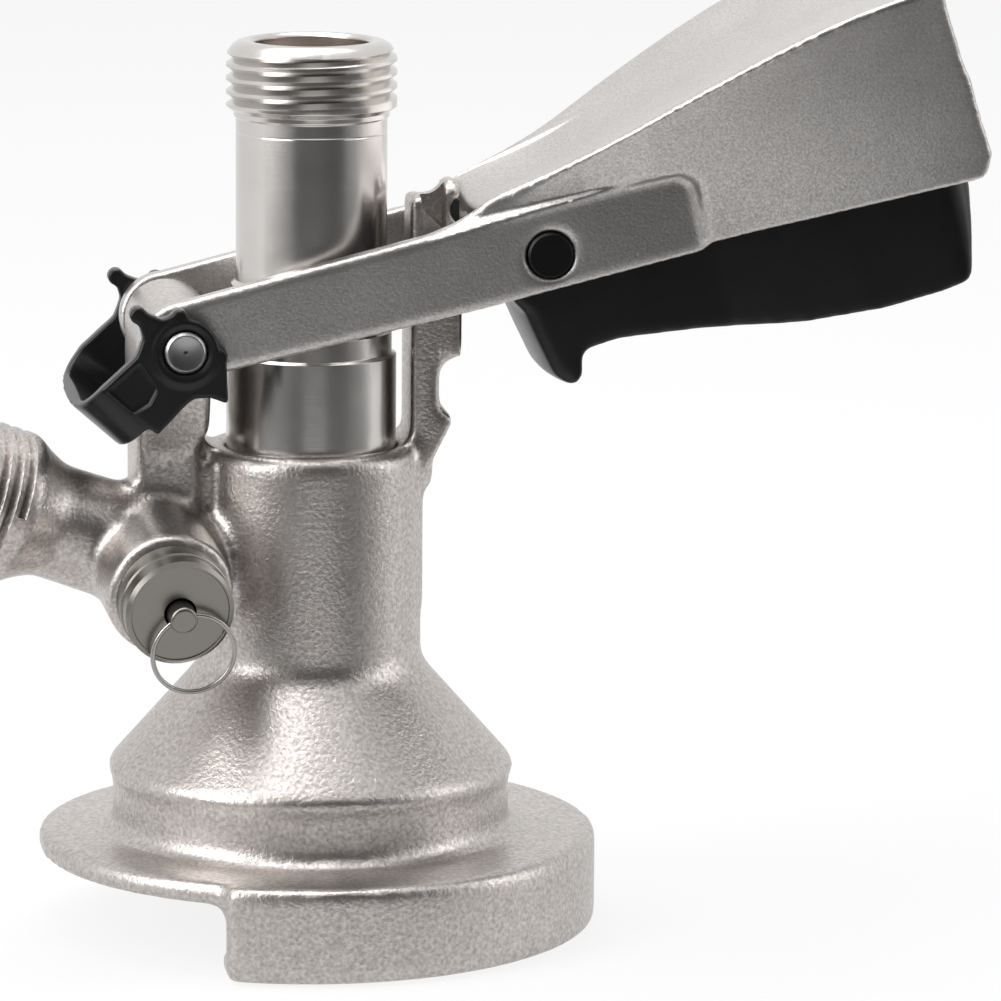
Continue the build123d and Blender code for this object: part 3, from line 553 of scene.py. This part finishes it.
def lever_casting():
    """The fork and handle, with ramps between them and a straight open end."""
    lever = copy_of("lever", "lever_casting")
    for span in both_sides(*ARM_Y):
        join(lever, prism([on_arm(*place) for place in FORK_RAMP], *span))
    cast(lever, grid=0.47, fillet=0.4, rounds=3)
    first, last = WALL_SET_IN[0][0], WALL_SET_IN[-1][0]
    for vertex in lever.data.vertices:
        u, v = along_arm(vertex.co)
        if first < u < last:    # the handle's walls stand in from the faces of the arms
            shift = (between(u, WALL_SET_IN) * smooth_rise(v, *WALL_FOOT)
                     * rise(abs(vertex.co.y) / MM, *WALL_Y))
            vertex.co.y -= copysign(shift, vertex.co.y) * MM
        shift = between(v, HANDLE_END) * rise(u, *HANDLE_END_U)
        vertex.co.x += shift * cos(ARM_TILT) * MM
        vertex.co.z += shift * sin(ARM_TILT) * MM
    return lever


def trigger_moulding():
    """The grip under the handle, with a rounded nose."""
    trigger = copy_of("trigger", "trigger_moulding")
    cast(trigger, grid=0.4, fillet=0.5, rounds=10)
    for vertex in trigger.data.vertices:
        u, v = along_arm(vertex.co)
        sideways = abs(vertex.co.y) / (TRIGGER_HALF_Y * MM)
        vertex.co.x += (NOSE_SWEEP * MM * sideways ** 3 * rise(-v, -NOSE_V[0], NOSE_V[1])
                        * rise(-u, -NOSE_U[0], NOSE_U[1]))
    relax(trigger, 4)
    return trigger


def clip_moulding():
    """The clip, with a collar round the pin and a sunk corner on each side."""
    clip = copy_of("pin_clip", "clip_moulding")
    radius, bead, sunk_in = CLIP_COLLAR
    for side in (-1, 1):
        bpy.ops.object.select_all(action="DESELECT")
        bpy.ops.mesh.primitive_torus_add(
            location=Vector((HINGE[0], side * (CLIP_FACE_Y - sunk_in), HINGE[1])) * MM,
            rotation=(pi / 2, 0, 0), major_radius=radius * MM, minor_radius=bead * MM,
            major_segments=64, minor_segments=16)
        join(clip, settled())
    cast(clip, grid=0.25, fillet=0.25, rounds=2)
    for span in both_sides(CLIP_FACE_Y - CLIP_SUNK_DEPTH, CLIP_FACE_Y + 1):
        sunk = prism([from_hinge(*corner) for corner in CLIP_SUNK], *span)
        soften(sunk, 0.7, 40, 4)
        cut(clip, sunk)
    relax(clip, 1)
    return clip


def hinge_pin_turned():
    """The hinge pin, with a dish and a centre mark in each end."""
    pin = copy_of("hinge_pin", "hinge_pin_turned")
    soften(pin, PIN_EDGE, 40, 4)
    dish_r, dish_depth = PIN_DISH
    mark_r, mark_tip, mark_depth = PIN_CENTRE
    for side in (-1, 1):
        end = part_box("hinge_pin")[side > 0][1] / MM
        bpy.ops.object.select_all(action="DESELECT")
        bpy.ops.mesh.primitive_uv_sphere_add(
            location=Vector((HINGE[0], end + side * (dish_r - dish_depth), HINGE[1])) * MM,
            segments=96, ring_count=64, radius=dish_r * MM)
        cut(pin, settled(), solver="EXACT")
        cut(pin, rod((HINGE[0], end, HINGE[1]), (HINGE[0], end - side * mark_depth, HINGE[1]),
                     mark_r, mark_tip, sides=24), solver="EXACT")
    return pin


def stands_for(piece, node, finish, angle):
    """Shade and dress a piece, and let it take the place of a solid."""
    only(piece)
    bpy.ops.object.shade_smooth_by_angle(angle=radians(angle))
    modify(piece, "WEIGHTED_NORMAL", keep_sharp=True)
    dress(piece, finish)
    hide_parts(node)
    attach(piece, body_of(nodes[node])[0])


stands_for(body_casting(), "coupler_body", body_steel, 45)
stands_for(probe_tube(), "probe", probe_steel, 35)
stands_for(lever_casting(), "lever", lever_steel, 60)
stands_for(trigger_moulding(), "trigger", black_plastic, 60)
stands_for(clip_moulding(), "pin_clip", black_plastic, 60)
stands_for(hinge_pin_turned(), "hinge_pin", pin_steel, 35)

for node, finish in {
    "body_seal": black_rubber,
    "post_bumper": black_rubber,
    "prv_housing": valve_metal,
    "prv_o_ring": black_rubber,
    "prv_spring": wire_steel,
    "prv_stem": valve_metal,
    "prv_seal": black_rubber,
    "prv_ring": wire_steel,
    "gas_check_valve": black_rubber,
    "gas_check_retainer": white_plastic,
    "probe_o_rings": black_rubber,
    "probe_tip_seal": black_rubber,
    "ball_cage": white_plastic,
    "check_ball": probe_steel,
    "lever_studs": probe_steel,
    "trigger_pin": blackened,
    "trigger_spring": wire_steel,
}.items():
    dress(nodes[node], finish)

# ---------------------------------------------------------------- studio, in metres
AIM = Vector((0.0259, 0, 0.0572))
COUPLER_MIDDLE = Vector((0.02, 0, 0.05))
VIEW_TURN, VIEW_DROP, VIEW_ROLL, VIEW_BACK = radians(8.25), radians(10.55), radians(0.40), 0.88428
LENS = 234.15
AIR_LEVEL = 0.30            # light of the room itself
PAPER_SHARE = 0.86          # how far the floor shows white to the camera and in the metal


def add_camera():
    look = Vector((sin(VIEW_TURN) * cos(VIEW_DROP), cos(VIEW_TURN) * cos(VIEW_DROP),
                   -sin(VIEW_DROP)))
    camera = bpy.data.objects.new("camera", bpy.data.cameras.new("camera"))
    scene.collection.objects.link(camera)
    camera.location = AIM - look * VIEW_BACK
    camera.rotation_mode = "QUATERNION"
    camera.rotation_quaternion = (look.to_track_quat("-Z", "Y")
                                  @ Quaternion((0, 0, 1), VIEW_ROLL))
    camera.data.sensor_width, camera.data.lens = 36, LENS
    camera.data.clip_start, camera.data.clip_end = 0.05, 20
    scene.camera = camera


def lamp(name, place, size, power):
    """A soft box that faces the coupler."""
    light = bpy.data.lights.new(name, "AREA")
    light.shape, light.size, light.size_y = "RECTANGLE", *size
    light.energy = power
    holder = bpy.data.objects.new(name, light)
    scene.collection.objects.link(holder)
    holder.location = place
    holder.rotation_mode = "QUATERNION"
    holder.rotation_quaternion = (COUPLER_MIDDLE - Vector(place)).to_track_quat("-Z", "Y")


def light_room():
    """White to the camera, in metal and through glass, soft on everything else."""
    scene.world = bpy.data.worlds.new("studio")
    scene.world.use_nodes = True
    room = Net(scene.world.node_tree)
    seen = room.ray("Is Camera Ray").either(room.ray("Is Glossy Ray")).either(
        room.ray("Is Transmission Ray"))
    background = room.tree.nodes["Background"]
    room.feed(background.inputs["Color"], (1, 1, 1, 1))
    room.feed(background.inputs["Strength"], seen * (1 - AIR_LEVEL) + AIR_LEVEL)


def sheet(name, place, size, turn, material):
    """A flat card or floor, which is no part of the coupler."""
    bpy.ops.object.select_all(action="DESELECT")
    bpy.ops.mesh.primitive_plane_add(size=1, location=place, rotation=turn)
    card = bpy.context.object
    card.name = name
    card.scale = (*size, 1)
    settled()
    card.data.materials.append(material)
    return card


def flag(name, place, size, grey, turn=(0, 0, 0)):
    """A grey card that only shows in the metal, as beside a camera."""
    felt = Finish(name, Base_Color=(grey, grey, grey, 1), Roughness=1.0, Specular_IOR_Level=0.0)
    card = sheet(name, place, size, turn, felt.material)
    card.visible_camera = card.visible_shadow = card.visible_diffuse = False


def white_paper():
    """Paper that shows nearly white and still takes a shadow."""
    paper = Finish("paper", Base_Color=(0.86, 0.86, 0.86, 1), Roughness=0.9,
                   Specular_IOR_Level=0.0)
    seen = paper.ray("Is Camera Ray").either(paper.ray("Is Glossy Ray"))
    glow = paper.node("Emission", None, {"Color": (1, 1, 1, 1), "Strength": 1.0})
    lit = Signal(paper, paper.surface.outputs[0])
    mixed = paper.node("MixShader", None, {0: seen * PAPER_SHARE, 1: lit, 2: glow})
    paper.feed(paper.tree.nodes["Material Output"].inputs["Surface"], mixed)
    return paper.material


scene.view_settings.view_transform = "Standard"
add_camera()
lamp("key_left", (-0.85, -0.35, 0.55), (0.55, 0.9), 8)
lamp("fill_right", (0.95, -0.15, 0.35), (0.30, 0.9), 1.6)
lamp("top", (-0.1, 0.15, 1.0), (1.0, 0.7), 9)
light_room()
flag("front_flag", (0.30, -1.4, 0.45), (2.5, 2.4), 0.12, turn=(radians(90), 0, 0))
flag("floor_flag", (0.1, -0.80, 0.0), (1.7, 1.0), 0.12)
flag("right_floor_flag", (0.33, -0.185, 0.0), (0.54, 0.23), 0.22)
flag("left_floor_flag", (-0.34, -0.185, 0.0), (0.54, 0.23), 0.12)
sheet("floor", (0, 0, cad_box[0][2] - 0.0002), (6, 6), (0, 0, 0), white_paper())
